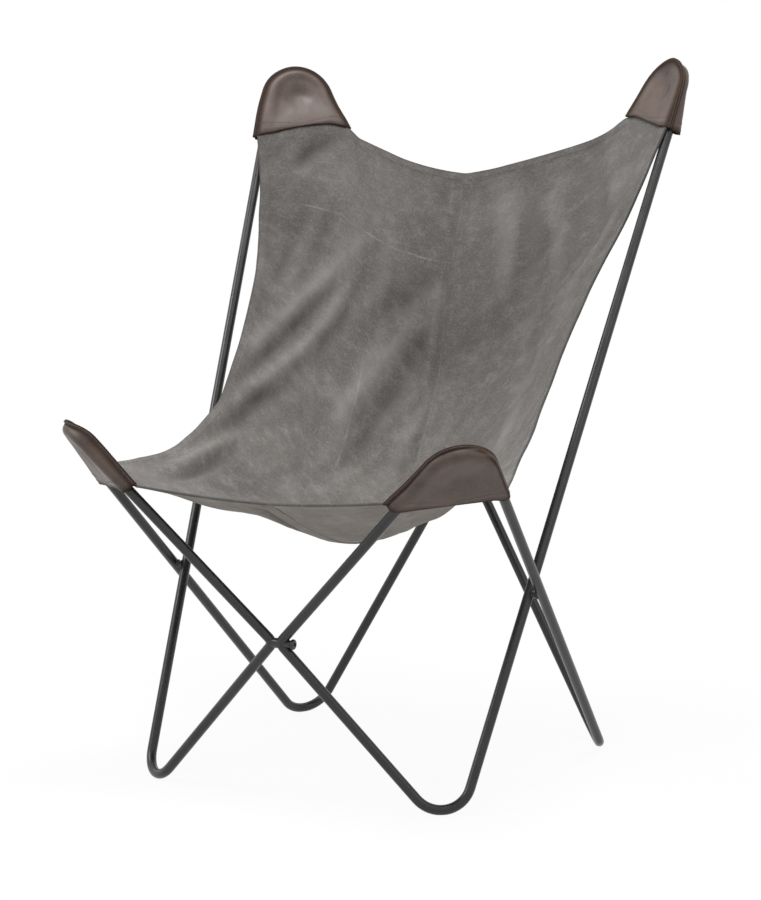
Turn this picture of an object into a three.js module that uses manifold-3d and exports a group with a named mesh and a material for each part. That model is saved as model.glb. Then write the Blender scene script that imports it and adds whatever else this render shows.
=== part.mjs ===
// Butterfly sling chair: two bent steel tube sides, bolted together at the front and the rear,
// carry a canvas sling by four leather corner pockets.
// Millimetres, +Z up, the seat opens towards -Y, the chair is mirrored in x = 0 and stands on z = 0.

import * as THREE from 'three';
import { mergeVertices } from 'three/addons/utils/BufferGeometryUtils.js';
import Module from 'manifold-3d';

const wasm = await Module();
wasm.setup();

// Frame tube
const TUBE_DIAMETER = 12.7;
const TUBE_WALL = 1.5;
const TUBE_SIDES = 12;
const BORE_SIDES = 8;
const FOOT_BEND_RADIUS = 39;
const HORN_BEND_RADIUS = 40;
const CENTRE_BEND_RADIUS = 8;
const FOOT_FLAT = 0.9;

// Where the straight runs of the tube would meet, on the right hand side
const FRONT_FOOT = { halfWidth: 223, back: -235 };
const REAR_FOOT_BACK = 221;
const FRONT_CENTRE = { back: -277, height: 202 };
const REAR_CENTRE = { back: 250, height: 371 };
const FRONT_HORN = { halfWidth: 298, back: -341, height: 496 };
const REAR_HORN = { halfWidth: 324, back: 336, height: 1013 };

// Joints of the frame
const CENTRE_SPACER_LENGTH = 1.8;
const CENTRE_SPACER_DIAMETER = 12.6;
const SIDE_STUB_LENGTH = 4.5;
const SIDE_STUB_DIAMETER = 8;
const SADDLE_DIAMETER = 10;
const SADDLE_HEIGHT = 7.4;
const BOLT_DIAMETER = 6;
const CAP_DIAMETER = 13;
const CAP_HEIGHT = 4.4;
const CAP_CHAMFER = 0.9;
const SOCKET_WIDTH = 4;
const SOCKET_DEPTH = 1.8;
const PLUG_DIAMETER = 11;
const SPIGOT_DIAMETER = 7.8;
const SPIGOT_LENGTH = 40;

// Canvas sling
const CANVAS_THICKNESS = 1.8;
const HEM_THICKNESS = 3.2;
const HEM_WIDTH = 11;
const SEAM_TAPE_WIDTH = 18;
const SEAM_TAPE_THICKNESS = 1.4;
const TOP_EDGE_DROP = 68;
const TOP_EDGE_FORWARD = 50;
const FRONT_EDGE_DROP = 16;
const FRONT_EDGE_BACK = 13;
const FOLD_DEPTH = 5;
const FOLD_COUNT = 4;
const BELLY_FOLD_DEPTH = 7;
const CANVAS_SWEEP = 1.75;
const CORNER_REACH = 2.6;

// The centre seam between the front edge and the top edge, as (back, height)
const SEAM_POINTS = [
  [-190, 325],
  [-90, 296],
  [0, 300],
  [75, 345],
  [130, 424],
  [167, 489],
  [206, 636],
];

// The side edge between the front pocket and the rear pocket, as (half width, back, height)
const SIDE_EDGE_POINTS = [
  [253, -138, 408],
  [241, -70, 432],
  [238, -8, 472],
  [243, 52, 550],
  [252, 111, 630],
  [277, 163, 710],
];

// Leather pockets
const LEATHER_THICKNESS = 1.6;
const POCKET_RIM = 6;
const POCKET_RIM_LIFT = 6;
const FRONT_POCKET = { outerDepth: 90, innerDepth: 96, mouthArch: 2, flare: 3, taper: 5 };
const REAR_POCKET = { outerDepth: 108, innerDepth: 90, mouthArch: 10, flare: 9, taper: 0 };
const POCKET_DIP = 2.2;
const HORN_STEPS = 10;

// Clearances
const FIT_GAP = 0.3;
const SOFT_GAP = 0.7;
const MOUTH_GAP = 0.9;

const TUBE_RADIUS = TUBE_DIAMETER / 2;
const BOLT_RADIUS = BOLT_DIAMETER / 2;
const SPIGOT_RADIUS = SPIGOT_DIAMETER / 2;

const BLACK_STEEL = { color: 0x35373a, roughness: 0.5, metalness: 0.6 };
const GREY_CANVAS = { color: 0x716e69, roughness: 0.95, metalness: 0 };
const BROWN_LEATHER = { color: 0x4b3b36, roughness: 0.5, metalness: 0 };

const chair = new THREE.Group();

function addPiece(name, geometry, finish) {
  const piece = new THREE.Mesh(geometry, new THREE.MeshStandardMaterial(finish));
  piece.name = name;
  chair.add(piece);
}

// Solids and meshes

function toSolid(geometry) {
  const bare = new THREE.BufferGeometry();
  bare.setAttribute('position', geometry.getAttribute('position'));
  bare.setIndex(geometry.index);
  const merged = mergeVertices(bare);
  return new wasm.Manifold(new wasm.Mesh({
    numProp: 3,
    vertProperties: new Float32Array(merged.getAttribute('position').array),
    triVerts: new Uint32Array(merged.index.array),
  }));
}

function toGeometry(solid) {
  const mesh = solid.getMesh();
  const geometry = new THREE.BufferGeometry();
  geometry.setAttribute('position', new THREE.BufferAttribute(new Float32Array(mesh.vertProperties), 3));
  geometry.setIndex(new THREE.BufferAttribute(new Uint32Array(mesh.triVerts), 1));
  geometry.computeVertexNormals();
  return geometry;
}

function mirrored(geometry) {
  const copy = geometry.clone();
  copy.scale(-1, 1, 1);
  const index = copy.index.array;
  for (let i = 0; i < index.length; i += 3) {
    [index[i], index[i + 1]] = [index[i + 1], index[i]];
  }
  copy.computeVertexNormals();
  return copy;
}

function addPair(stem, geometry, finish) {
  addPiece(`${stem}_right`, geometry, finish);
  addPiece(`${stem}_left`, mirrored(geometry), finish);
}

// A rod along X from one place to another, at a given depth and height
function rodAlongX(radius, from, to, axis, sides = 16) {
  const rod = new THREE.CylinderGeometry(radius, radius, to - from, sides);
  rod.rotateZ(-Math.PI / 2);
  rod.translate((from + to) / 2, axis.y, axis.z);
  return toSolid(rod);
}

// A turned piece along X: profile points are (radius, distance along the axis)
function turnedAlongX(profile, origin, sides = 16) {
  const points = profile.map(([radius, along]) => new THREE.Vector2(radius, along));
  const turned = new THREE.LatheGeometry(points, sides);
  turned.rotateZ(-Math.PI / 2);
  turned.translate(origin.x, origin.y, origin.z);
  return toSolid(turned);
}

// Gives an open sheet its thickness: a skin on each side and a wall along its border
function thicken(points, triangles, thicknessAt) {
  const normals = points.map(() => new THREE.Vector3());
  const face = new THREE.Vector3();
  const side = new THREE.Vector3();
  const borders = new Map();
  for (const [a, b, c] of triangles) {
    face.subVectors(points[b], points[a]).cross(side.subVectors(points[c], points[a]));
    for (const corner of [a, b, c]) normals[corner].add(face);
    for (const [from, to] of [[a, b], [b, c], [c, a]]) {
      if (!borders.delete(`${to},${from}`)) borders.set(`${from},${to}`, [from, to]);
    }
  }
  const count = points.length;
  const position = new Float32Array(count * 6);
  points.forEach((point, i) => {
    const half = normals[i].normalize().multiplyScalar(thicknessAt(i) / 2);
    side.addVectors(point, half).toArray(position, i * 3);
    side.subVectors(point, half).toArray(position, (count + i) * 3);
  });
  const index = [];
  for (const [a, b, c] of triangles) index.push(a, b, c, count + a, count + c, count + b);
  for (const [from, to] of borders.values()) {
    index.push(from, count + from, count + to, from, count + to, to);
  }
  const geometry = new THREE.BufferGeometry();
  geometry.setAttribute('position', new THREE.BufferAttribute(position, 3));
  geometry.setIndex(index);
  geometry.computeVertexNormals();
  return geometry;
}

function gridTriangles(columns, rows) {
  const triangles = [];
  for (let row = 0; row + 1 < rows; row++) {
    for (let column = 0; column + 1 < columns; column++) {
      const a = row * columns + column;
      const b = a + 1;
      const c = a + columns;
      triangles.push([a, b, c + 1], [a, c + 1, c]);
    }
  }
  return triangles;
}

// Bends of the tube

// The bend that rounds a corner between two straight runs
function bendAt(before, corner, after, radius) {
  const toBefore = new THREE.Vector3().subVectors(before, corner).normalize();
  const toAfter = new THREE.Vector3().subVectors(after, corner).normalize();
  const half = toBefore.angleTo(toAfter) / 2;
  const inward = new THREE.Vector3().addVectors(toBefore, toAfter).normalize();
  const centre = corner.clone().addScaledVector(inward, radius / Math.sin(half));
  const along = new THREE.Vector3().subVectors(toAfter, toBefore).normalize();
  const turn = Math.PI / 2 - half;
  const top = new THREE.Vector3().copy(inward).negate();
  return { centre, inward, along, top, half, turn, radius };
}

// A place on a bend, from -1 where it starts, through 0 at its middle, to 1 where it ends
function placeOnBend(bend, share) {
  const angle = share * bend.turn;
  const point = bend.centre.clone()
    .addScaledVector(bend.top, bend.radius * Math.cos(angle))
    .addScaledVector(bend.along, bend.radius * Math.sin(angle));
  const tangent = bend.along.clone().multiplyScalar(Math.cos(angle))
    .addScaledVector(bend.top, -Math.sin(angle));
  return { point, tangent };
}

function bendPlaces(bend, from, to, steps) {
  return Array.from({ length: steps + 1 }, (_, i) => placeOnBend(bend, from + (to - from) * i / steps));
}

// A route through places that each carry their own tangent, one ring of the tube at each place
class BentRoute extends THREE.Curve {
  constructor(places) {
    super();
    this.places = places;
    this.steps = places.length - 1;
  }

  getUtoTmapping(share) {
    return share;
  }

  getPoint(share, target = new THREE.Vector3()) {
    return target.copy(this.places[Math.round(share * this.steps)].point);
  }

  getTangent(share, target = new THREE.Vector3()) {
    return target.copy(this.places[Math.round(share * this.steps)].tangent);
  }
}

function tubeAlong(places, radius, sides = TUBE_SIDES) {
  const route = new BentRoute(places);
  const section = new THREE.Shape();
  section.absarc(0, 0, radius, 0, Math.PI * 2, false);
  return toSolid(new THREE.ExtrudeGeometry(section, {
    steps: route.steps,
    curveSegments: sides / 2,
    extrudePath: route,
  }));
}

// Corners of the right hand side, settled so that the feet stand on the floor, the centre bends
// clear each other by their spacer and the two legs that cross clear each other by their stub

const corner = {
  frontFoot: new THREE.Vector3(FRONT_FOOT.halfWidth, FRONT_FOOT.back, -TUBE_DIAMETER),
  rearFoot: new THREE.Vector3(FRONT_FOOT.halfWidth, REAR_FOOT_BACK, -TUBE_DIAMETER),
  frontCentre: new THREE.Vector3(TUBE_RADIUS, FRONT_CENTRE.back, FRONT_CENTRE.height),
  rearCentre: new THREE.Vector3(TUBE_RADIUS, REAR_CENTRE.back, REAR_CENTRE.height),
  frontHorn: new THREE.Vector3(FRONT_HORN.halfWidth, FRONT_HORN.back, FRONT_HORN.height),
  rearHorn: new THREE.Vector3(REAR_HORN.halfWidth, REAR_HORN.back, REAR_HORN.height),
};

// Where the leg from the front foot and the leg from the rear foot pass each other, seen from the side
function legCrossing() {
  const frontLeg = new THREE.Vector3().subVectors(corner.rearHorn, corner.frontFoot);
  const rearLeg = new THREE.Vector3().subVectors(corner.frontHorn, corner.rearFoot);
  const apart = new THREE.Vector3().subVectors(corner.rearFoot, corner.frontFoot);
  const scale = frontLeg.y * rearLeg.z - frontLeg.z * rearLeg.y;
  const onFront = (apart.y * rearLeg.z - apart.z * rearLeg.y) / scale;
  const onRear = (apart.y * frontLeg.z - apart.z * frontLeg.y) / scale;
  return { onFront, onRear, point: corner.frontFoot.clone().addScaledVector(frontLeg, onFront) };
}

const bends = () => ({
  frontHorn: bendAt(corner.rearFoot, corner.frontHorn, corner.frontCentre, HORN_BEND_RADIUS),
  frontCentre: bendAt(corner.frontHorn, corner.frontCentre, corner.frontFoot, CENTRE_BEND_RADIUS),
  frontFoot: bendAt(corner.frontCentre, corner.frontFoot, corner.rearHorn, FOOT_BEND_RADIUS),
  rearHorn: bendAt(corner.frontFoot, corner.rearHorn, corner.rearCentre, HORN_BEND_RADIUS),
  rearCentre: bendAt(corner.rearHorn, corner.rearCentre, corner.rearFoot, CENTRE_BEND_RADIUS),
  rearFoot: bendAt(corner.rearCentre, corner.rearFoot, corner.frontHorn, FOOT_BEND_RADIUS),
});

function settleCorners() {
  const centreReach = CENTRE_SPACER_LENGTH / 2 + FIT_GAP + TUBE_RADIUS;
  const legSpacing = TUBE_DIAMETER + SIDE_STUB_LENGTH + 2 * FIT_GAP;
  for (let pass = 0; pass < 30; pass++) {
    const now = bends();
    for (const foot of ['frontFoot', 'rearFoot']) {
      const bend = now[foot];
      const tilt = new THREE.Vector3().crossVectors(bend.top, bend.along).normalize().z;
      const lowest = bend.centre.z - bend.radius * Math.sqrt(1 - tilt * tilt);
      corner[foot].z += TUBE_RADIUS - FOOT_FLAT - lowest;
    }
    for (const centre of ['frontCentre', 'rearCentre']) {
      corner[centre].x += centreReach - placeOnBend(now[centre], 0).point.x;
    }
    const crossing = legCrossing();
    const outside = crossing.point.x + legSpacing - corner.frontHorn.x * crossing.onRear;
    corner.rearFoot.x = outside / (1 - crossing.onRear);
  }
}

settleCorners();
const bend = bends();
const crossing = legCrossing();

// Frame: on each side a front tube and a rear tube run from horn to horn and meet inside the pockets

const BUTT_ANGLE = FIT_GAP / 2 / HORN_BEND_RADIUS;
const FOOT_STEPS = 8;
const CENTRE_STEPS = 5;

// A tube's route stops short of the middle of each horn by an angle, or runs past it when that is below 0
function routeOf(startHorn, centre, foot, endHorn, short = BUTT_ANGLE) {
  return [
    ...bendPlaces(bend[startHorn], short / bend[startHorn].turn, 1, HORN_STEPS / 2),
    ...bendPlaces(bend[centre], -1, 1, CENTRE_STEPS),
    ...bendPlaces(bend[foot], -1, 1, FOOT_STEPS),
    ...bendPlaces(bend[endHorn], -1, -short / bend[endHorn].turn, HORN_STEPS / 2),
  ];
}

const FRONT_TUBE = ['frontHorn', 'frontCentre', 'frontFoot', 'rearHorn'];
const REAR_TUBE = ['rearHorn', 'rearCentre', 'rearFoot', 'frontHorn'];

// The pin inside a horn that lines up the two tube ends
function hornPin(horn) {
  const share = SPIGOT_LENGTH / 2 / HORN_BEND_RADIUS / horn.turn;
  return tubeAlong(bendPlaces(horn, -share, share, 8), SPIGOT_RADIUS);
}

const frontJoint = placeOnBend(bend.frontCentre, 0).point;
const rearJoint = placeOnBend(bend.rearCentre, 0).point;

function boltHole(joint) {
  const reach = joint.x + TUBE_DIAMETER + SADDLE_HEIGHT;
  return rodAlongX(BOLT_RADIUS + FIT_GAP, -reach, reach, joint);
}

const floorSize = 4 * REAR_HORN.height;
const floorBlock = new THREE.BoxGeometry(floorSize, floorSize, TUBE_DIAMETER).translate(0, 0, -TUBE_RADIUS);
const belowFloor = toSolid(floorBlock);

function frameTube(corners, joint) {
  const bore = tubeAlong(routeOf(...corners, -BUTT_ANGLE), TUBE_RADIUS - TUBE_WALL, BORE_SIDES);
  return tubeAlong(routeOf(...corners), TUBE_RADIUS)
    .subtract(bore)
    .subtract(boltHole(joint))
    .subtract(belowFloor);
}

addPair('front_tube', toGeometry(frameTube(FRONT_TUBE, frontJoint)), BLACK_STEEL);
addPair('rear_tube', toGeometry(frameTube(REAR_TUBE, rearJoint)), BLACK_STEEL);
for (const [name, horn] of [['front_horn_spigot', 'frontHorn'], ['rear_horn_spigot', 'rearHorn']]) {
  addPair(name, toGeometry(hornPin(bend[horn])), BLACK_STEEL);
}

// Seats are cut by the tubes themselves, grown by the fit gap

const frontSeat = tubeAlong(routeOf(...FRONT_TUBE), TUBE_RADIUS + FIT_GAP);
const rearSeat = tubeAlong(routeOf(...REAR_TUBE), TUBE_RADIUS + FIT_GAP);
const sideStub = rodAlongX(
  SIDE_STUB_DIAMETER / 2,
  crossing.point.x,
  crossing.point.x + TUBE_DIAMETER + SIDE_STUB_LENGTH,
  crossing.point,
).subtract(frontSeat).subtract(rearSeat);
addPair('side_stub', toGeometry(sideStub), BLACK_STEEL);

// Centre joints: on one axis a bolt with a round head, a saddle on the right tube, the right tube, a spacer,
// the left tube and a threaded plug inside it, where the bolt ends flush

// A low round cap that stands on a face and points away from the middle of the chair
function roundCap(face, joint) {
  const radius = CAP_DIAMETER / 2;
  return turnedAlongX([
    [0, 0],
    [radius - CAP_CHAMFER, 0],
    [radius, CAP_CHAMFER],
    [radius, CAP_HEIGHT * 0.6],
    [radius * 0.86, CAP_HEIGHT * 0.88],
    [radius * 0.6, CAP_HEIGHT],
    [0, CAP_HEIGHT],
  ], new THREE.Vector3(face, joint.y, joint.z));
}

function centreJoint(name, joint, corners) {
  const seat = tubeAlong(routeOf(...corners), TUBE_RADIUS + FIT_GAP);
  const leftSeat = toSolid(mirrored(toGeometry(seat)));
  const hole = boltHole(joint);
  const tubeSide = joint.x + TUBE_RADIUS;
  const spacer = rodAlongX(CENTRE_SPACER_DIAMETER / 2, -joint.x, joint.x, joint)
    .subtract(seat).subtract(leftSeat).subtract(hole);
  addPiece(`${name}_spacer`, toGeometry(spacer), BLACK_STEEL);

  const saddleFace = tubeSide + SADDLE_HEIGHT;
  const saddle = rodAlongX(SADDLE_DIAMETER / 2, joint.x, saddleFace, joint).subtract(seat).subtract(hole);
  addPiece(`${name}_saddle`, toGeometry(saddle), BLACK_STEEL);

  const inside = tubeAlong(routeOf(...corners), TUBE_RADIUS - TUBE_WALL - FIT_GAP, BORE_SIDES);
  const plug = rodAlongX(PLUG_DIAMETER / 2, 0, tubeSide, joint).intersect(inside).subtract(hole);
  addPiece(`${name}_plug`, mirrored(toGeometry(plug)), BLACK_STEEL);

  const capFace = saddleFace + FIT_GAP;
  const shank = rodAlongX(BOLT_RADIUS, -tubeSide, capFace + CAP_CHAMFER, joint);
  const socketFace = capFace + CAP_HEIGHT;
  const socketRadius = SOCKET_WIDTH / Math.sqrt(3);
  const socket = rodAlongX(socketRadius, socketFace - SOCKET_DEPTH, socketFace + FIT_GAP, joint, 6);
  const bolt = roundCap(capFace, joint).add(shank).subtract(socket);
  addPiece(`${name}_bolt`, toGeometry(bolt), BLACK_STEEL);
}

centreJoint('front_joint', frontJoint, FRONT_TUBE);
centreJoint('rear_joint', rearJoint, REAR_TUBE);

// Pockets: each horn wears a seat skin and an outer skin, sewn together round the arch.
// Places in a pocket are (across, down, out): across from the outer leg to the inner leg, down from
// the middle of the arch's circle towards the mouth, out from the horn's plane towards the seat.

function pocketOf(horn, size) {
  const down = horn.inward;
  const across = horn.along;
  const out = new THREE.Vector3().crossVectors(across, down).normalize();
  const hand = Math.sign(out.z);
  out.multiplyScalar(hand);
  const outlineRadius = horn.radius + TUBE_RADIUS + POCKET_RIM;
  const outerMouth = size.outerDepth - outlineRadius;
  const innerMouth = size.innerDepth - outlineRadius;
  const place = (a, b, c) => horn.centre.clone()
    .addScaledVector(across, a).addScaledVector(down, b).addScaledVector(out, c);
  return { ...horn, ...size, out, hand, outerMouth, innerMouth, place };
}

// Rings of a pocket's skins along the tube's line: how far outside the line, and how far out of the plane.
// The sewn rim lies to the seat side of the tube, so the outer skin reaches round the tube to it.
const SKIN_REACH = TUBE_RADIUS + SOFT_GAP + LEATHER_THICKNESS / 2;
const SEWN = FIT_GAP / 2 + LEATHER_THICKNESS / 2;
const RIM_EDGE = TUBE_RADIUS + POCKET_RIM;
const RIM_FOOT = SKIN_REACH + SOFT_GAP;
const roundTube = (angle) => [SKIN_REACH * Math.sin(angle), -SKIN_REACH * Math.cos(angle)];
const SEAT_RINGS = [
  [RIM_EDGE, POCKET_RIM_LIFT + SEWN],
  [RIM_FOOT, POCKET_RIM_LIFT + SEWN],
  [SKIN_REACH / 2, SKIN_REACH],
  [0, SKIN_REACH],
  [-1.6 * TUBE_RADIUS, SKIN_REACH],
];
const OUTER_RINGS = [
  [RIM_EDGE, POCKET_RIM_LIFT - SEWN],
  [RIM_FOOT, POCKET_RIM_LIFT - SEWN],
  [RIM_FOOT, 0],
  roundTube(Math.PI / 3),
  roundTube(Math.PI / 6),
  [0, -SKIN_REACH],
  [-1.6 * TUBE_RADIUS, -SKIN_REACH],
];
const ARCH_STATIONS = HORN_STEPS / 2;
const SIDE_STATIONS = 3;
const STATIONS = ARCH_STATIONS + SIDE_STATIONS;

// A place on a ring: station 0 at the top of the arch, counted to the inner leg and, below 0, the outer leg
function ringPlace(pocket, [beyond, height], station) {
  const hand = Math.sign(station);
  const share = Math.min(Math.abs(station) / ARCH_STATIONS, 1);
  const angle = hand * share * pocket.turn;
  const run = Math.max(0, Math.abs(station) - ARCH_STATIONS) / SIDE_STATIONS;
  const narrowed = hand < 0 ? Math.max(0, beyond - RIM_FOOT) * pocket.taper * run / POCKET_RIM : 0;
  const reach = pocket.radius + beyond - narrowed;
  const archEnd = -reach * Math.cos(angle);
  const mouth = hand > 0 ? pocket.innerMouth : pocket.outerMouth;
  const drop = run * (mouth - archEnd);
  const a = reach * Math.sin(angle) + hand * drop * Math.tan(pocket.half);
  const point = pocket.place(a, archEnd + drop, height);
  if (hand > 0 && beyond > TUBE_RADIUS) point.x -= pocket.flare * run * run;
  return point;
}

function mouthMiddle(pocket, inner, outer) {
  return new THREE.Vector3().lerpVectors(inner, outer, 0.5).addScaledVector(pocket.inward, -pocket.mouthArch);
}

function pocketSkin(pocket, rings, direction) {
  const points = [];
  for (const ring of rings) {
    for (let i = -STATIONS; i <= STATIONS; i++) points.push(ringPlace(pocket, ring, i));
  }
  const columns = 2 * STATIONS + 1;
  const triangles = gridTriangles(columns, rings.length);

  // The leather between the legs: rows from leg to leg, each with a middle point that dips
  const inner = (rings.length - 1) * columns;
  let last = null;
  for (let row = 0; row < STATIONS; row++) {
    const left = inner + row;
    const right = inner + columns - 1 - row;
    const middle = points.length;
    const centre = row === 0
      ? mouthMiddle(pocket, points[left], points[right])
      : new THREE.Vector3().lerpVectors(points[left], points[right], 0.5);
    const dip = POCKET_DIP * Math.sin(Math.PI * row / STATIONS);
    points.push(centre.addScaledVector(pocket.out, -direction * dip));
    if (last) {
      triangles.push([last.left, left, middle], [last.left, middle, last.middle]);
      triangles.push([last.middle, middle, right], [last.middle, right, last.right]);
    }
    last = { left, right, middle };
  }
  triangles.push([last.left, inner + STATIONS, last.middle], [last.middle, inner + STATIONS, last.right]);
  if (direction * pocket.hand < 0) for (const triangle of triangles) triangle.reverse();
  return thicken(points, triangles, () => LEATHER_THICKNESS);
}

const frontPocket = pocketOf(bend.frontHorn, FRONT_POCKET);
const rearPocket = pocketOf(bend.rearHorn, REAR_POCKET);
for (const [name, pocket] of [['front_pocket', frontPocket], ['rear_pocket', rearPocket]]) {
  addPair(`${name}_seat_skin`, pocketSkin(pocket, SEAT_RINGS, 1), BROWN_LEATHER);
  addPair(`${name}_outer_skin`, pocketSkin(pocket, OUTER_RINGS, -1), BROWN_LEATHER);
}

// Sling: the right hand panel spans from the seam (0) to the side edge (1), and from the front (0)
// to the top (1)

const CORNER_SHARE = 0.62;

// A place on the line where the canvas meets a pocket's mouth, from the inner leg (0) to the outer leg (1)
function mouthPlace(pocket, share) {
  const [overLeg, besideLeg] = SEAT_RINGS.slice(-2);
  const inner = ringPlace(pocket, besideLeg, STATIONS);
  const outer = ringPlace(pocket, besideLeg, -STATIONS);
  const stops = [
    ringPlace(pocket, overLeg, STATIONS),
    inner,
    mouthMiddle(pocket, inner, outer),
    outer,
    ringPlace(pocket, overLeg, -STATIONS),
  ];
  const step = Math.min(Math.floor(share * 4), 3);
  return stops[step].lerp(stops[step + 1], share * 4 - step)
    .addScaledVector(pocket.inward, MOUTH_GAP)
    .addScaledVector(pocket.out, (CANVAS_THICKNESS - LEATHER_THICKNESS) / 2);
}

const frontInner = mouthPlace(frontPocket, 0);
const frontOuter = mouthPlace(frontPocket, 1);
const rearInner = mouthPlace(rearPocket, 0);
const rearOuter = mouthPlace(rearPocket, 1);
const frontMiddle = new THREE.Vector3(0, frontInner.y + FRONT_EDGE_BACK, frontInner.z - FRONT_EDGE_DROP);
const topMiddle = new THREE.Vector3(0, rearInner.y - TOP_EDGE_FORWARD, rearInner.z - TOP_EDGE_DROP);

const seamCurve = new THREE.CatmullRomCurve3([
  frontMiddle,
  ...SEAM_POINTS.map(([back, height]) => new THREE.Vector3(0, back, height)),
  topMiddle,
]);
const sideCurve = new THREE.CatmullRomCurve3([
  frontOuter,
  ...SIDE_EDGE_POINTS.map(([halfWidth, back, height]) => new THREE.Vector3(halfWidth, back, height)),
  rearOuter,
]);

// A free edge swings from the middle of the chair to a pocket, level at the middle
function freeEdge(middle, end, share) {
  const rise = share ** 1.6;
  return new THREE.Vector3(
    end.x * share,
    THREE.MathUtils.lerp(middle.y, end.y, rise),
    THREE.MathUtils.lerp(middle.z, end.z, rise),
  );
}

function endEdge(middle, end, pocket, share) {
  if (share <= CORNER_SHARE) return freeEdge(middle, end, share / CORNER_SHARE);
  return mouthPlace(pocket, (share - CORNER_SHARE) / (1 - CORNER_SHARE));
}

// The panel as it would hang between its seam and its side edge alone
function hung(u, v) {
  const seam = seamCurve.getPointAt(v);
  const side = sideCurve.getPointAt(v);
  const sweep = u ** CANVAS_SWEEP;
  return new THREE.Vector3(
    side.x * u,
    THREE.MathUtils.lerp(seam.y, side.y, sweep),
    THREE.MathUtils.lerp(seam.z, side.z, sweep),
  );
}

// Soft drag folds fan out from the rear pocket, and one deeper fold runs under the seat to the front pocket
function foldAt(u, v) {
  const inside = Math.sin(Math.PI * u) * Math.sin(Math.PI * v);
  const fan = Math.atan2(1 - u, 1.15 - v) / (Math.PI / 2);
  const drag = Math.cos(2 * Math.PI * FOLD_COUNT * fan) * FOLD_DEPTH;
  const line = v - 0.36 + 0.28 * u;
  const belly = BELLY_FOLD_DEPTH * Math.exp(-((line / 0.05) ** 2));
  return inside * (drag * v - belly * (1 - v));
}

function canvasPlace(u, v) {
  const place = hung(u, v);
  const front = endEdge(frontMiddle, frontInner, frontPocket, u).sub(hung(u, 0));
  const top = endEdge(topMiddle, rearInner, rearPocket, u).sub(hung(u, 1));
  return place.addScaledVector(front, (1 - v) ** CORNER_REACH).addScaledVector(top, v ** CORNER_REACH);
}

const STEP = 1e-3;

function canvasNormal(u, v) {
  const u0 = Math.min(u, 1 - STEP);
  const v0 = Math.min(v, 1 - STEP);
  const here = canvasPlace(u0, v0);
  const across = canvasPlace(u0 + STEP, v0).sub(here);
  const along = canvasPlace(u0, v0 + STEP).sub(here);
  return across.cross(along).normalize();
}

// Stations across a panel: a line at the hem, a line where the pocket starts, even steps between
const hemShare = HEM_WIDTH / sideCurve.getPointAt(0.5).x;
const hemLength = HEM_WIDTH / seamCurve.getLength();
const INNER_COLUMNS = 7;
const OUTER_COLUMNS = 4;
const LONG_ROWS = 24;
const columns = [
  ...Array.from({ length: INNER_COLUMNS }, (_, i) => CORNER_SHARE * i / INNER_COLUMNS),
  ...Array.from({ length: OUTER_COLUMNS }, (_, i) => CORNER_SHARE + (1 - CORNER_SHARE) * i / OUTER_COLUMNS),
  1 - hemShare,
  1,
];
const rows = [
  0,
  ...Array.from({ length: LONG_ROWS + 1 }, (_, i) => hemLength + (1 - 2 * hemLength) * i / LONG_ROWS),
  1,
];

function canvasPanel() {
  const points = [];
  const thick = [];
  for (const v of rows) {
    for (const u of columns) {
      const point = canvasPlace(u, v).addScaledVector(canvasNormal(u, v), foldAt(u, v));
      if (u === 0) point.x = FIT_GAP / 2;
      points.push(point);
      const hemmed = v === 0 || v === 1 ? u < CORNER_SHARE : u === 1;
      thick.push(hemmed ? HEM_THICKNESS : CANVAS_THICKNESS);
    }
  }
  return thicken(points, gridTriangles(columns.length, rows.length), (i) => thick[i]);
}

addPair('canvas_panel', canvasPanel(), GREY_CANVAS);

// The tape behind the centre seam lies on the back of both panels
function seamTape() {
  const inset = (CANVAS_THICKNESS + SEAM_TAPE_THICKNESS) / 2 + FIT_GAP;
  const points = [];
  const tapeRows = rows.slice(2, -2);
  for (const v of tapeRows) {
    const out = canvasNormal(0, v).setX(0).normalize();
    for (const hand of [-1, 0, 1]) {
      const share = hand * hand * SEAM_TAPE_WIDTH / 2 / sideCurve.getPointAt(v).x;
      const place = canvasPlace(share, v).addScaledVector(out, -inset);
      points.push(place.setX(hand * SEAM_TAPE_WIDTH / 2));
    }
  }
  return thicken(points, gridTriangles(3, tapeRows.length), () => SEAM_TAPE_THICKNESS);
}

addPiece('centre_seam_tape', seamTape(), GREY_CANVAS);

// The origin is under the middle of the chair
const middle = new THREE.Box3().setFromObject(chair).getCenter(new THREE.Vector3());
chair.position.y = -middle.y;

export default chair;
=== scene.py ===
# Butterfly sling chair: smooth bent tubes, sewn leather pockets and a hanging canvas sling.

from bisect import bisect_right
from math import cos, exp, pi, sin, tan

import bmesh
import bpy
from mathutils import Matrix, Vector, noise
from mathutils.geometry import interpolate_bezier


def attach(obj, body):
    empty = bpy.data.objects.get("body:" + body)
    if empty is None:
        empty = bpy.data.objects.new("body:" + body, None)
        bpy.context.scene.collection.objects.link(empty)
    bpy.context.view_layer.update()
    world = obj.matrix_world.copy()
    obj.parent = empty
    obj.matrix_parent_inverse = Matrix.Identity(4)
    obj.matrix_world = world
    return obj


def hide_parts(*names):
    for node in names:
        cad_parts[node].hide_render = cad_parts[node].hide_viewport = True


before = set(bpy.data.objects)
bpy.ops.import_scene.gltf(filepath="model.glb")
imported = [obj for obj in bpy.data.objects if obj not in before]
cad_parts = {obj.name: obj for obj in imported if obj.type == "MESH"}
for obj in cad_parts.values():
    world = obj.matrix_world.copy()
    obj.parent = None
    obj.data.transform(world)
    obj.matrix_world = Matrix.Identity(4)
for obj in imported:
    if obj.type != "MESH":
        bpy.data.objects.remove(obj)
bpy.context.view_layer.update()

MM = 0.001
TUBE_RADIUS = 6.35 * MM
HORN_RADIUS = 40 * MM
FOOT_RADIUS = 39 * MM
CENTRE_RADIUS = 8 * MM
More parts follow.
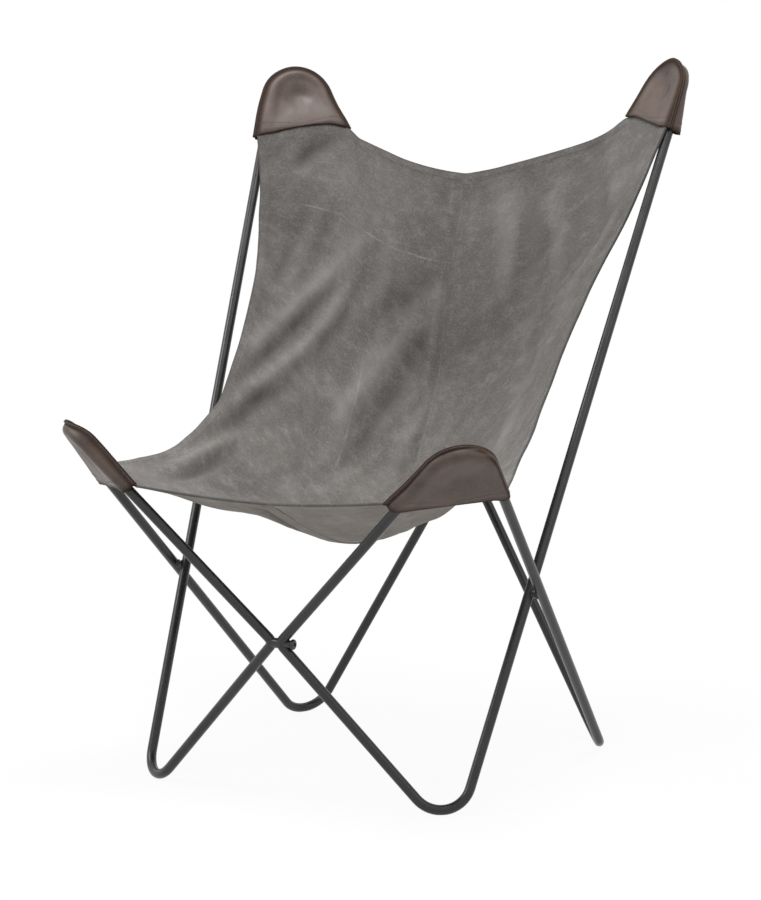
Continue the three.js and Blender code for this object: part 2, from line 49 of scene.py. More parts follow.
CANVAS_THICKNESS = 1.8 * MM
HEM_THICKNESS = 3.2 * MM
HEM_WIDTH = 11 * MM
LEATHER_THICKNESS = 1.6 * MM
BACK_SHIFT = 5.3 * MM
SIDES = {1: "right", -1: "left"}


def smoothstep(low, high, value):
    share = min(max((value - low) / (high - low), 0), 1)
    return share * share * (3 - 2 * share)


def mix(a, b, share):
    return a + (b - a) * share


def smooth_read(values, share):
    """Reads evenly spaced values along a smooth line, from the first at 0 to the last at 1."""
    spot = min(max(share, 0), 1) * (len(values) - 1)
    step = min(int(spot), len(values) - 2)
    part = spot - step
    here, there = values[step], values[step + 1]
    leave = (there - values[max(step - 1, 0)]) / 2
    arrive = (values[min(step + 2, len(values) - 1)] - here) / 2
    swing = here - there
    bent = -3 * swing - 2 * leave - arrive + part * (2 * swing + leave + arrive)
    return here + part * (leave + part * bent)


# Materials

def add_node(finish, kind, values=(), **settings):
    node = finish.node_tree.nodes.new(kind)
    for name, value in settings.items():
        setattr(node, name, value)
    for name, value in dict(values).items():
        node.inputs[name].default_value = value
    return node


def link(finish, output, target):
    finish.node_tree.links.new(output, target)


def feed(finish, socket, value):
    """Gives a socket a number, a colour or the output of another node."""
    if isinstance(value, (int, float)):
        socket.default_value = value
    elif isinstance(value, tuple):
        socket.default_value = (*value, 1)
    else:
        link(finish, value, socket)


def set_shader(finish, values):
    shader = finish.node_tree.nodes["Principled BSDF"]
    for name, value in values.items():
        feed(finish, shader.inputs[name], value)
    return shader


def new_finish(name, colour):
    finish = bpy.data.materials.new(name)
    finish.use_nodes = True
    finish.diffuse_color = (*colour, 1)
    return finish


def object_noise(finish, scale, detail=4.0, roughness=0.55):
    place = add_node(finish, "ShaderNodeTexCoord")
    values = {"Scale": scale, "Detail": detail, "Roughness": roughness}
    cloud = add_node(finish, "ShaderNodeTexNoise", values)
    link(finish, place.outputs["Object"], cloud.inputs["Vector"])
    return cloud.outputs["Fac"]


def map_range(finish, value, low, high, to_low, to_high):
    node = add_node(finish, "ShaderNodeMapRange", {
        "From Min": low, "From Max": high, "To Min": to_low, "To Max": to_high,
    })
    link(finish, value, node.inputs["Value"])
    return node.outputs["Result"]


def math(finish, operation, first, second):
    node = add_node(finish, "ShaderNodeMath", operation=operation)
    feed(finish, node.inputs[0], first)
    feed(finish, node.inputs[1], second)
    return node.outputs[0]


def tint(finish, colour, share, other, blend="MIX"):
    node = add_node(finish, "ShaderNodeMix", data_type="RGBA", blend_type=blend)
    for place, value in ((0, share), (6, colour), (7, other)):
        feed(finish, node.inputs[place], value)
    return node.outputs[2]


def bump(finish, height, distance, strength, under=None):
    node = add_node(finish, "ShaderNodeBump", {"Distance": distance, "Strength": strength})
    link(finish, height, node.inputs["Height"])
    if under is not None:
        link(finish, under, node.inputs["Normal"])
    return node.outputs["Normal"]


def powder_coat():
    finish = new_finish("charcoal_powder_coat", (0.0205, 0.020, 0.0195))
    patches = object_noise(finish, 26, 3)
    specks = object_noise(finish, 1500, 2)
    coated = map_range(finish, patches, 0.3, 0.7, 0, 1)
    set_shader(finish, {
        "Specular IOR Level": 0.42,
        "Base Color": tint(finish, (0.0145, 0.0142, 0.0140), coated, (0.027, 0.0265, 0.026)),
        "Roughness": map_range(finish, patches, 0.3, 0.7, 0.24, 0.34),
        "Normal": bump(finish, specks, 0.00012, 0.3),
    })
    return finish


def black_fitting():
    finish = new_finish("black_fitting_steel", (0.018, 0.018, 0.019))
    marks = object_noise(finish, 240, 4)
    worn = map_range(finish, marks, 0.35, 0.7, 0, 1)
    set_shader(finish, {
        "Base Color": tint(finish, (0.012, 0.012, 0.013), worn, (0.032, 0.032, 0.033)),
        "Roughness": map_range(finish, marks, 0.3, 0.7, 0.26, 0.42),
        "Normal": bump(finish, marks, 0.0001, 0.3),
    })
    return finish


def cut_place(finish):
    """Where a point lies on the cut cloth, across it (0) and along it (1), in metres."""
    flat = add_node(finish, "ShaderNodeUVMap", uv_map="cut")
    parts = add_node(finish, "ShaderNodeSeparateXYZ")
    link(finish, flat.outputs["UV"], parts.inputs[0])
    return parts.outputs


def flat_noise(finish, scale, detail, roughness=0.6, stretch=(1, 1, 1), turn=0.0):
    """Noise on the cut cloth, which can be drawn out along one direction."""
    flat = add_node(finish, "ShaderNodeUVMap", uv_map="cut")
    mapping = add_node(finish, "ShaderNodeMapping", {"Scale": stretch, "Rotation": (0, 0, turn)})
    values = {"Scale": scale, "Detail": detail, "Roughness": roughness}
    cloud = add_node(finish, "ShaderNodeTexNoise", values)
    link(finish, flat.outputs["UV"], mapping.inputs["Vector"])
    link(finish, mapping.outputs["Vector"], cloud.inputs["Vector"])
    return cloud.outputs["Fac"]


def storage_crease(finish, axis, place, start, end, strength):
    """A pale line left by folding the cloth flat, across one direction of the cut."""
    parts = cut_place(finish)
    wander = map_range(finish, flat_noise(finish, 14, 4), 0.2, 0.8, -0.0035, 0.0035)
    here = math(finish, "ADD", parts[axis], wander)
    away = math(finish, "ABSOLUTE", math(finish, "SUBTRACT", here, place), 0)
    line = map_range(finish, away, 0.0003, 0.0018, 1, 0)
    starts = map_range(finish, parts[1 - axis], start - 0.03, start, 0, 1)
    stops = map_range(finish, parts[1 - axis], end, end + 0.03, 1, 0)
    worn = map_range(finish, flat_noise(finish, 45, 4), 0.38, 0.62, 0.1 * strength, strength)
    for share in (worn, starts, stops):
        line = math(finish, "MULTIPLY", line, share)
    return line


def crackle(finish, scale, width, strength):
    """Thin wandering lines where the wax has cracked pale, only here and there."""
    ridge = flat_noise(finish, scale, 3, 0.5)
    away = math(finish, "ABSOLUTE", math(finish, "SUBTRACT", ridge, 0.5), 0)
    line = map_range(finish, away, 0, width, 1, 0)
    some = map_range(finish, flat_noise(finish, scale * 0.8, 2, 0.5, turn=1.0), 0.48, 0.66, 0, strength)
    return math(finish, "MULTIPLY", line, some)


def waxed_canvas(name, dark, middle, light, side):
    """Canvas for the top of the cloth (side 1) or for its underside (side -1)."""
    finish = new_finish(name, middle)

    # Wax lies in broad clouds, in small patches and as a fine speckle of thread tops
    clouds = flat_noise(finish, 7, 4, 0.55)
    mottle = flat_noise(finish, 20, 5, 0.65, (1, 0.7, 1), -0.3)
    patches = flat_noise(finish, 55, 7, 0.75)
    specks = flat_noise(finish, 380, 4, 0.75)
    shade = tint(finish, dark, map_range(finish, clouds, 0.32, 0.66, 0.15, 1), middle)
    for cloud, spread, most in ((mottle, 0.22, 0.42), (patches, 0.24, 0.6), (specks, 0.28, 0.75)):
        shade = tint(finish, shade, map_range(finish, cloud, 0.51, 0.51 + spread, 0, most), light)
        shade = tint(finish, shade, map_range(finish, cloud, 0.49, 0.49 - spread, 0, most), dark)

    # Pale cracks, and the lines where the cloth was folded flat
    for line in (
        crackle(finish, 30, 0.02, 0.25),
        crackle(finish, 75, 0.04, 0.32),
        storage_crease(finish, 1, 0.740, 0.02, 0.19, 0.75),
        storage_crease(finish, 0, 0.100, 0.40, 0.54, 0.6),
    ):
        shade = tint(finish, shade, line, light)

    # Painted shade: the back is darker than the seat, darkening from the middle of the panel upwards
    back = map_range(finish, cut_place(finish)[1], 0.36, 0.72, 0, 1)
    shade = tint(finish, shade, back, (0.735, 0.733, 0.73), "MULTIPLY")

    # Painted light and shade of the folds: ridges are painted paler and valleys darker, the underside's
    # valleys darker still
    fold = add_node(finish, "ShaderNodeAttribute", attribute_name="fold")
    rise = math(finish, "MULTIPLY", fold.outputs["Fac"], side)
    ridge = map_range(finish, rise, 0.05, 1.0, 0, 0.32)
    painted_valley_shade = map_range(finish, rise, -0.05, -1.0, 0, 0.55 if side > 0 else 0.9)
    shade = tint(finish, shade, ridge, light)
    shade = tint(finish, shade, painted_valley_shade, dark)
    # Painted shade: a dark line along the free edges, where the turned hem's edge falls into shadow
    rim = add_node(finish, "ShaderNodeAttribute", attribute_name="rim")
    painted_edge_shade = map_range(finish, rim.outputs["Fac"], 0.1, 0.9, 0, 0.55)
    shade = tint(finish, shade, painted_edge_shade, (0.045, 0.042, 0.039))

    # The weave runs along the panel
    flat = add_node(finish, "ShaderNodeUVMap", uv_map="cut")
    threads = []
    for direction, scale in (("X", 290), ("Y", 250)):
        values = {"Scale": scale, "Distortion": 0.6}
        wave = add_node(finish, "ShaderNodeTexWave", values, bands_direction=direction)
        link(finish, flat.outputs["UV"], wave.inputs["Vector"])
        threads.append(wave.outputs["Fac"])
    weave = math(finish, "MULTIPLY", *threads)
    soft = bump(finish, flat_noise(finish, 30, 5), 0.003, 0.45)
    set_shader(finish, {
        "Sheen Weight": 0.05,
        "Sheen Roughness": 0.5,
        "Specular IOR Level": 0.25,
        "Base Color": shade,
        "Roughness": map_range(finish, patches, 0.3, 0.7, 0.74, 0.9),
        "Normal": bump(finish, weave, 0.00025, 0.5, soft),
    })
    return finish


def brown_leather():
    finish = new_finish("brown_pocket_leather", (0.052, 0.034, 0.027))
    cloud = object_noise(finish, 26, 5, 0.6)
    pores = object_noise(finish, 330, 3, 0.6)
    edge = add_node(finish, "ShaderNodeAttribute", attribute_name="edge").outputs["Fac"]
    rubbed = map_range(finish, cloud, 0.3, 0.68, 0, 1)
    shade = tint(finish, (0.038, 0.0215, 0.0148), rubbed, (0.093, 0.060, 0.0455))
    shade = tint(finish, shade, map_range(finish, pores, 0.5, 0.8, 0, 0.4), (0.105, 0.078, 0.065))
    # Darker at the sewn rim and cut edges, the leather's own burnished edge; in the groove inside the rim the
    # darkening is painted shade
    shade = tint(finish, shade, map_range(finish, edge, 0, 1, 0, 0.72), (0.024, 0.0145, 0.011))
    worn = map_range(finish, cloud, 0.3, 0.7, 0.4, 0.52)
    dull = math(finish, "MULTIPLY", edge, 0.3)

    # Pebbled grain over slow waves of the hide
    place = add_node(finish, "ShaderNodeTexCoord")
    grain = add_node(finish, "ShaderNodeTexVoronoi", {"Scale": 720.0, "Randomness": 1.0})
    link(finish, place.outputs["Object"], grain.inputs["Vector"])
    hide = bump(finish, object_noise(finish, 60, 4), 0.0012, 0.25)
    set_shader(finish, {
        "Base Color": shade,
        "Roughness": math(finish, "ADD", worn, dull),
        "Specular IOR Level": map_range(finish, edge, 0, 0.8, 0.48, 0.1),
        "Coat Weight": map_range(finish, edge, 0, 0.6, 0.1, 0),
        "Coat Roughness": 0.4,
        "Normal": bump(finish, grain.outputs["Distance"], 0.0002, 0.25, hide),
    })
    return finish


def sewing_thread(name, colour):
    finish = new_finish(name, colour)
    twist = object_noise(finish, 900, 2)
    darker = tuple(part * 0.6 for part in colour)
    turned_up = map_range(finish, twist, 0.35, 0.65, 0, 1)
    set_shader(finish, {
        "Sheen Weight": 0.2,
        "Base Color": tint(finish, darker, turned_up, colour),
        "Roughness": 0.7,
        "Normal": bump(finish, twist, 0.0002, 0.5),
    })
    return finish


COAT = powder_coat()
FITTING = black_fitting()
CANVAS = waxed_canvas(
    "grey_waxed_canvas", (0.100, 0.093, 0.086), (0.174, 0.164, 0.154), (0.310, 0.297, 0.283), 1,
)
CANVAS_BACK = waxed_canvas(
    "canvas_underside", (0.135, 0.119, 0.104), (0.215, 0.192, 0.170), (0.33, 0.30, 0.27), -1,
)
LEATHER = brown_leather()
CANVAS_THREAD = sewing_thread("grey_thread", (0.13, 0.122, 0.114))
LEATHER_THREAD = sewing_thread("brown_thread", (0.115, 0.085, 0.068))


# Making a piece of the chair

def mesh_from(name, bm):
    mesh = bpy.data.meshes.new(name)
    bm.to_mesh(mesh)
    bm.free()
    return mesh


def add_object(name, data):
    thing = bpy.data.objects.new(name, data)
    bpy.context.scene.collection.objects.link(thing)
    return thing


def add_piece(name, bm, finishes, nodes=(), sharp=None):
    mesh = mesh_from(name, bm)
    piece = add_object(name, mesh)
    for finish in finishes:
        mesh.materials.append(finish)
    mesh.shade_smooth()
    if sharp is not None:
        mesh.set_sharp_from_angle(angle=sharp)
    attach(piece, "root")
    if nodes:
        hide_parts(*nodes)
    return piece


def close_up(bm):
    bmesh.ops.remove_doubles(bm, verts=bm.verts, dist=0.00001)
    bmesh.ops.recalc_face_normals(bm, faces=bm.faces)


# Bent tube

CORNERS = {
    "front_foot": Vector((223.0, -229.7, -30.76)) * MM,
    "rear_foot": Vector((233.8, 226.3, -28.83)) * MM,
    "front_centre": Vector((4.52, -271.7, 202.0)) * MM,
    "rear_centre": Vector((6.5, 255.3, 371.0)) * MM,
    "front_horn": Vector((298.0, -335.7, 496.0)) * MM,
    "rear_horn": Vector((324.0, 341.3, 1013.0)) * MM,
}


class Bend:
    """The round that a tube makes at a corner between two straight runs."""

    def __init__(self, before, corner, after, radius):
        to_before = (CORNERS[before] - CORNERS[corner]).normalized()
        to_after = (CORNERS[after] - CORNERS[corner]).normalized()
        self.half = to_before.angle(to_after) / 2
        self.turn = pi / 2 - self.half
        self.inward = (to_before + to_after).normalized()
        self.along = (to_after - to_before).normalized()
        self.centre = CORNERS[corner] + self.inward * (radius / sin(self.half))
        self.radius = radius

    def place(self, share):
        angle = share * self.turn
        point = self.centre + (self.along * sin(angle) - self.inward * cos(angle)) * self.radius
        tangent = self.along * cos(angle) + self.inward * sin(angle)
        return point, tangent


BENDS = {
    "front_horn": Bend("rear_foot", "front_horn", "front_centre", HORN_RADIUS),
    "front_centre": Bend("front_horn", "front_centre", "front_foot", CENTRE_RADIUS),
    "front_foot": Bend("front_centre", "front_foot", "rear_horn", FOOT_RADIUS),
    "rear_horn": Bend("front_foot", "rear_horn", "rear_centre", HORN_RADIUS),
    "rear_centre": Bend("rear_horn", "rear_centre", "rear_foot", CENTRE_RADIUS),
    "rear_foot": Bend("rear_centre", "rear_foot", "front_horn", FOOT_RADIUS),
}


TUBE_SIDES = 28
END_GAP = 0.004


def tube_route(start, centre, foot, end):
    """Two tubes meet end to end in the top of each horn, with a small gap."""
    places = []
    for name, first, last, steps in (
        (start, END_GAP, 1, 10), (centre, -1, 1, 16), (foot, -1, 1, 20), (end, -1, -END_GAP, 10),
    ):
        for step in range(steps + 1):
            places.append(BENDS[name].place(mix(first, last, step / steps)))
    return places


def sweep_circle(bm, places, radius, sides):
    point, tangent = places[0]
    turn = Vector((0, 0, 1)).rotation_difference(tangent)
    spot = Matrix.Translation(point) @ turn.to_matrix().to_4x4()
    ring = bmesh.ops.create_circle(bm, segments=sides, radius=radius, matrix=spot)["verts"]
    edges = list({edge for vert in ring for edge in vert.link_edges})
    for next_point, next_tangent in places[1:]:
        grown = bmesh.ops.extrude_edge_only(bm, edges=edges)["geom"]
        ring = [item for item in grown if isinstance(item, bmesh.types.BMVert)]
        edges = [item for item in grown if isinstance(item, bmesh.types.BMEdge) and item.is_boundary]
        turn = tangent.rotation_difference(next_tangent) @ turn
        next_spot = Matrix.Translation(next_point) @ turn.to_matrix().to_4x4()
        bmesh.ops.transform(bm, matrix=next_spot @ spot.inverted(), verts=ring)
        spot = next_spot
        tangent = next_tangent


def mirror_to(bm, hand):
    if hand < 0:
        bmesh.ops.scale(bm, vec=(-1, 1, 1), verts=bm.verts)


def add_tube(stem, route, hand):
    bm = bmesh.new()
    sweep_circle(bm, tube_route(*route), TUBE_RADIUS, TUBE_SIDES)
    bmesh.ops.bisect_plane(
        bm, geom=bm.verts[:] + bm.edges[:] + bm.faces[:], dist=0.000001,
        plane_co=(0, 0, 0), plane_no=(0, 0, 1), clear_inner=True,
    )
    bmesh.ops.holes_fill(bm, edges=bm.edges, sides=0)
    mirror_to(bm, hand)
    close_up(bm)
    nodes = [f"{stem}_{SIDES[hand]}"]
    add_piece(f"{stem}_bent_{SIDES[hand]}", bm, [COAT], nodes, 0.7)


FRONT_ROUTE = ("front_horn", "front_centre", "front_foot", "rear_horn")
REAR_ROUTE = ("rear_horn", "rear_centre", "rear_foot", "front_horn")
for hand in (1, -1):
    add_tube("front_tube", FRONT_ROUTE, hand)
    add_tube("rear_tube", REAR_ROUTE, hand)


# Fittings turned on an axis along X: profile points are (radius, distance along the axis) in millimetres

TURNED_SIDES = 36


def turned(profile, place, direction):
    bm = bmesh.new()
    corners = [bm.verts.new((along * MM, radius * MM, 0)) for radius, along in profile]
    edges = [bm.edges.new(pair) for pair in zip(corners, corners[1:])]
    bmesh.ops.spin(
        bm, geom=corners + edges, cent=(0, 0, 0), axis=(1, 0, 0), angle=2 * pi, steps=TURNED_SIDES,
        use_merge=True,
    )
    move = Matrix.Translation(place) @ Matrix.Diagonal((direction, 1, 1, 1))
    bmesh.ops.transform(bm, matrix=move, verts=bm.verts)
    close_up(bm)
    return bm


def add_fitting(name, profile, place, nodes):
    add_piece(name, turned(profile, place, 1), [FITTING], nodes, 0.6)


def bolt_profile(tube_side, face):
    """A bolt from its end, flush in the left tube, to its round head with a key hole on the right."""
    head = [
        (5.6, 0), (6.5, 0.9), (6.5, 2.5), (6.35, 3.1), (5.9, 3.7), (5.1, 4.15), (4.0, 4.4), (2.9, 4.4),
        (2.35, 4.2), (2.3, 2.7), (0, 2.5),
    ]
    shank = [(0, -tube_side - 0.2), (2.4, -tube_side - 0.1), (3, 0.5 - tube_side), (3, face)]
    return shank + [(radius, face + along) for radius, along in head]


def add_bolt(name, tube_side, face, place, nodes):
    """The key hole is drawn from a circle to a hexagon."""
    bm = turned(bolt_profile(tube_side, face), place, 1)
    for vert in bm.verts:
        around = Vector((vert.co.y - place.y, vert.co.z - place.z))
        if vert.co.x > face * MM and 0.5 * MM < around.length < SOCKET_RADIUS * 1.05:
            angle = (around.angle_signed(Vector((1, 0))) + pi / 6) % (pi / 3) - pi / 6
            grown = cos(pi / 6) / cos(angle) * 1.08
            vert.co.y = place.y + around.x * grown
            vert.co.z = place.z + around.y * grown
    add_piece(name, bm, [FITTING], nodes, 0.6)


JOINTS = {
    "front_joint": Vector((7.55, -271.74, 201.95)) * MM,
    "rear_joint": Vector((7.55, 255.37, 371.03)) * MM,
}
SPACER = [(0, -6.6), (6.0, -6.6), (6.3, -6.2), (6.3, 6.2), (6.0, 6.6), (0, 6.6)]
SADDLE = [(0, 3.6), (5, 3.6), (5, 13.2), (4.5, 13.75), (0, 13.75)]
SOCKET_RADIUS = 2.35 * MM
HEAD_OFF_TUBE = 7.7
for name, joint in JOINTS.items():
    middle = Vector((0, joint.y, joint.z))
    add_fitting(f"{name}_turned_spacer", SPACER, middle, [f"{name}_spacer"])
    add_fitting(f"{name}_turned_saddle", SADDLE, joint, [f"{name}_saddle"])
    tube_side = (joint.x + TUBE_RADIUS) / MM
    add_bolt(f"{name}_round_head_bolt", tube_side, tube_side + HEAD_OFF_TUBE, middle, [f"{name}_bolt"])

# The two legs that cross on each side are joined by a short stub with a bead of weld at each end
CROSSING = Vector((250.4, -74.81, 252.37)) * MM
STUB = [
    (0, 4.6), (5.0, 4.6), (5.6, 5.4), (5.6, 6.3), (5.0, 7.0), (4.2, 7.4), (4.0, 8.0),
    (4.0, 9.8), (4.2, 10.4), (5.0, 10.8), (5.6, 11.5), (5.6, 12.4), (5.0, 13.2), (0, 13.2),
]
for hand, side in SIDES.items():
    spot = Vector((hand * CROSSING.x, CROSSING.y, CROSSING.z))
    weld = turned(STUB, spot, hand)
    add_piece(f"side_stub_welded_{side}", weld, [COAT], [f"side_stub_{side}"], 1.0)


# Leather pockets

# Places in a pocket are (across, down, out) in millimetres: across from the outer leg to the inner leg, down
# from the arch's middle to the mouth, and out of the horn's plane to the seat, all on the right hand side
ARCH_SHARE = 0.58
# Beyond the tube's line: the skins' sewn rim, where it meets the wrap round the tube, and the wrap's end
RIM_REACH = 12.4
RIM_FOOT = 7.9
INNER_REACH = -11
SEAM_RING = 3
MIDDLE_TOP = -8
MIDDLE_ROWS = 8
CANVAS_OVER_TUBE = 7.7
SKIN_OVER_CANVAS = 2.2
SKIN_DIP = 4
DISH_RADIUS = 29
CREASE_HEIGHT = 0.35


class Pocket:
    """One horn's pocket: how far its mouth reaches down at the outer and the inner leg, how far it arches,
    and from the outer corner over the arch to the inner one, how far the sewn edge stands beyond the tube's
    line and how far the rim is lifted to the seat side. At its outer corner the outer skin can have a bulge
    of slack, a skirt that reaches further down, and a dark band that ends at another ring than the seam's."""

    def __init__(self, horn, outer, inner, arch, edges, lifts, bulge=0, skirt=0, band=SEAM_RING):
        self.bend = BENDS[horn]
        self.outer = outer
        self.inner = inner
        self.arch = arch
        self.edges = edges
        self.lifts = lifts
        self.bulge = bulge
        self.skirt = skirt
        self.band = band
        out = self.bend.along.cross(self.bend.inward).normalized()
        self.out = out if out.z > 0 else -out
        self.mouth_ends = (self.outline(9.6, 1)[0], self.outline(6, -1)[0])

    def at(self, across, down, out):
        bend = self.bend
        return bend.centre + (bend.along * across + bend.inward * down + self.out * out) * MM

    def run(self, share):
        return max(0, abs(share) - ARCH_SHARE) / (1 - ARCH_SHARE)

    def lift(self, share):
        return smooth_read(self.lifts, (share + 1) / 2)

    def outline(self, beyond, share, part=None):
        """(across, down) of a point beyond the tube's line, from the outer mouth (-1) to the inner (1)."""
        side = 1 if share > 0 else -1
        angle = side * min(abs(share) / ARCH_SHARE, 1) * self.bend.turn
        spare = smooth_read(self.edges, (share + 1) / 2) - RIM_REACH
        if spare > 0 or part == "seat":
            beyond += spare * smoothstep(-8, RIM_FOOT, beyond)
        elif beyond > RIM_FOOT:
            beyond += spare * (beyond - RIM_FOOT) / (RIM_REACH - RIM_FOOT)
        reach = self.bend.radius / MM + beyond
        top = -reach * cos(angle)
        corner = self.inner if side > 0 else self.outer
        if part == "outer" and side < 0:
            corner += self.skirt
        drop = self.run(share) * (corner - top)
        return reach * sin(angle) + side * drop * tan(self.bend.half), top + drop

    def mouth_depth(self, where):
        return mix(self.inner, self.outer, where) - self.arch * 4 * where * (1 - where)

    def mouth_share(self, across):
        inner, outer = self.mouth_ends
        return min(max((inner - across) / (inner - outer), 0), 1)

    def canvas_height(self, share):
        """How far out the canvas lies at the mouth, from the inner leg (0) to the outer leg (1)."""
        outer, inner = [max(0, lift - 2.6 - CANVAS_OVER_TUBE) for lift in (self.lifts[0], self.lifts[-1])]
        return CANVAS_OVER_TUBE + inner * (1 - share) ** 1.5 + outer * share ** 1.5

    def rings(self, part, share):
        lift = self.lift(share)
        if part == "seat":
            rim = [(RIM_REACH, lift + 0.9), (11.6, lift + 0.95), (9.4, lift + 0.95), (RIM_FOOT, lift + 0.6)]
            for beyond, out in ((5.6, 6.9), (2.4, 8.3), (-1.5, 8.7), (-6, 8.0), (INNER_REACH, 6.6)):
                rim.append((beyond, max(out, lift + 0.9 - 0.4 * (RIM_FOOT - beyond))))
            return rim
        slack = mix(0.88, 1 + self.bulge, self.run(share)) if self.bulge and share < 0 else 1
        wrap = [(8.0, 0), (6.9, -4.1), (4.0, -7.0), (0, -8.1), (-5, -7.8), (INNER_REACH, -7.0)]
        rim = [(RIM_REACH, lift - 0.9), (11.6, lift - 0.95), (9.4, lift - 0.95)]
        rim.append((8.3, min(lift - 2.6, lift * 0.7)))
        return rim + [(beyond, out * slack) for beyond, out in wrap]

    def skin(self, part, share, depth):
        """A place on a skin: depth counts its rings from the rim, then two more to the pocket's middle."""
        side = 1 if part == "seat" else -1
        rings = self.rings(part, share)
        last = len(rings) - 1
        ring = min(int(depth), last - 1)
        inside_ring = min(depth - ring, 1)
        beyond = mix(rings[ring][0], rings[ring + 1][0], inside_ring)
        out = mix(rings[ring][1], rings[ring + 1][1], inside_ring)
        across, down = self.outline(beyond, share, part)
        run = self.run(share)
        near_mouth = smoothstep(0.1, 1, run)
        if depth > last:
            inside = (depth - last) / 2
            feet = [self.outline(INNER_REACH, end, part) for end in (-1, 1)]
            middle_across = abs(share) * (feet[0][0] + feet[1][0]) / 2
            middle_down = mix(MIDDLE_TOP, (feet[0][1] + feet[1][1]) / 2, abs(share))
            middle_out = (rings[-1][1] + self.rings(part, -share)[-1][1]) / 2
            across = mix(across, middle_across, inside)
            down = mix(down, middle_down, inside)
            out = mix(out, middle_out, smoothstep(0, 1, inside))
        where = self.mouth_share(across)
        down -= self.arch * 4 * where * (1 - where) * run ** 1.5
        if depth > last:
            ramp = smoothstep(-10, self.mouth_depth(where), down)
            near_mouth = mix(near_mouth, ramp, smoothstep(0, 0.65, inside))
            half_width = DISH_RADIUS + max(down, 0) * tan(self.bend.half)
            away = Vector((across, min(down, 0))).length / half_width
            out -= side * SKIN_DIP * smoothstep(1, 0.1, away) * (1 - ramp)
        outside = min(max((beyond - 6) / 3, 0), 1)
        crease = noise.noise(Vector((across * 0.05, down * 0.07, side * 3.1 + self.arch)))
        out += side * CREASE_HEIGHT * crease * (1 - outside)
        if side > 0:
            over_canvas = self.canvas_height(where) + SKIN_OVER_CANVAS
            out = mix(out, max(out, over_canvas), near_mouth * (1 - outside))
        return self.at(across, down, out)

    def mouth(self, share):
        """Where the canvas goes into the pocket, from the inner leg (0) to the outer leg (1)."""
        inner = self.outline(9.6, 1)
        outer = self.outline(7, -1)
        across = mix(inner[0], outer[0], share)
        down = mix(inner[1], outer[1], share) - self.arch * 4 * share * (1 - share)
        return self.at(across, down + 0.6, self.canvas_height(share))


POCKETS = {
    ("front", 1): Pocket(
        "front_horn", 36, 46, 1, (9.3, 9.3, 9.3, 9.4, 10.6, 11, 10.2, 11.5, 16.5), (5, 6, 5, 6, 6), band=5,
    ),
    ("front", -1): Pocket(
        "front_horn", 40, 47, 2, (11, 11, 11, 11.5, 13.4, 12, 12, 12.4, 15), (8, 12, 3, 12.4, 9.5),
        bulge=0.4, skirt=17,
    ),
    ("rear", 1): Pocket(
        "rear_horn", 48, 34, 1, (12.4, 12.4, 11.6, 11.2, 12.6, 10.4, 9.4, 9.8, 13.5), (4, 5.5, 12, 18, 20),
        bulge=1.1,
    ),
    ("rear", -1): Pocket(
        "rear_horn", 62, 46, 8.5, (16.5, 17, 13.4, 10, 9.4, 9.3, 9.3, 11, 17.6), (3.5, 4.6, 4.8, 5.2, 7),
    ),
}
SKIN_COLUMNS = 64


def skin_grid(pocket, part):
    rings = len(pocket.rings(part, 0))
    depths = [float(ring) for ring in range(rings)]
    depths += [rings - 1 + 2 * (step + 1) / MIDDLE_ROWS for step in range(MIDDLE_ROWS)]
    bm = bmesh.new()
    edge = bm.verts.layers.float.new("edge")
    bmesh.ops.create_grid(bm, x_segments=SKIN_COLUMNS, y_segments=len(depths) - 1, size=0.5)
    for vert in bm.verts:
        share = 2 * vert.co.x
        depth = depths[round((vert.co.y + 0.5) * (len(depths) - 1))]
        vert.co = pocket.skin(part, share, depth)
        seam = SEAM_RING
        rim = 1
        # The groove along the seam ring, and the slope inside it, are darkened as painted shade; the rim is
        # the leather's own darker edge, and the mouth's ends its cut edge
        painted_groove_shade = exp(-((depth - seam) / (0.6 if depth < seam else 1.5)) ** 2)
        if part == "outer":
            seam = mix(SEAM_RING, pocket.band, smoothstep(0.1, -0.5, share))
            rim = 0.45
            painted_groove_shade = exp(-((depth - seam) / 0.6) ** 2) * 6 / max(6, pocket.lift(share))
        rim *= 1 - smoothstep(seam - 1, seam + 0.2, depth)
        vert[edge] = max(rim, painted_groove_shade, smoothstep(0.95, 1, abs(share)))
    return bm


def thicken(piece, thickness, crisp, group=None, thin=1.0):
    wall = piece.modifiers.new("thickness", "SOLIDIFY")
    wall.thickness = thickness
    wall.offset = 0
    wall.use_even_offset = False
    wall.edge_crease_rim = crisp
    wall.edge_crease_inner = crisp
    wall.edge_crease_outer = crisp
    if group:
        wall.vertex_group = group
        wall.thickness_vertex_group = thin
        wall.material_offset = 1
    smooth = piece.modifiers.new("smooth", "SUBSURF")
    smooth.levels = 1
    smooth.render_levels = 1


def add_skin(pocket, end, hand, part):
    bm = skin_grid(pocket, part)
    mirror_to(bm, hand)
    close_up(bm)
    area = sum(face.calc_area() for face in bm.faces)
    nodes = [f"{end}_pocket_{part}_skin_{SIDES[hand]}"]
    piece = add_piece(f"{end}_pocket_sewn_{part}_{SIDES[hand]}", bm, [LEATHER], nodes)
    thicken(piece, LEATHER_THICKNESS, 0.5)
    return piece, area


for (end, hand), pocket in POCKETS.items():
    for part in ("seat", "outer"):
        add_skin(pocket, end, hand, part)


# Stitches: small threads laid along a line of (place, outward direction)

def spaced(line, pitch):
    """Places at even spacing along a line, each with the line's direction and its outward direction."""
    spots = []
    carried = pitch / 2
    for (here, here_out), (there, there_out) in zip(line, line[1:]):
        length = (there - here).length
        while carried <= length:
            share = carried / length
            spots.append((here.lerp(there, share), there - here, here_out.lerp(there_out, share)))
            carried += pitch
        carried -= length
    return spots


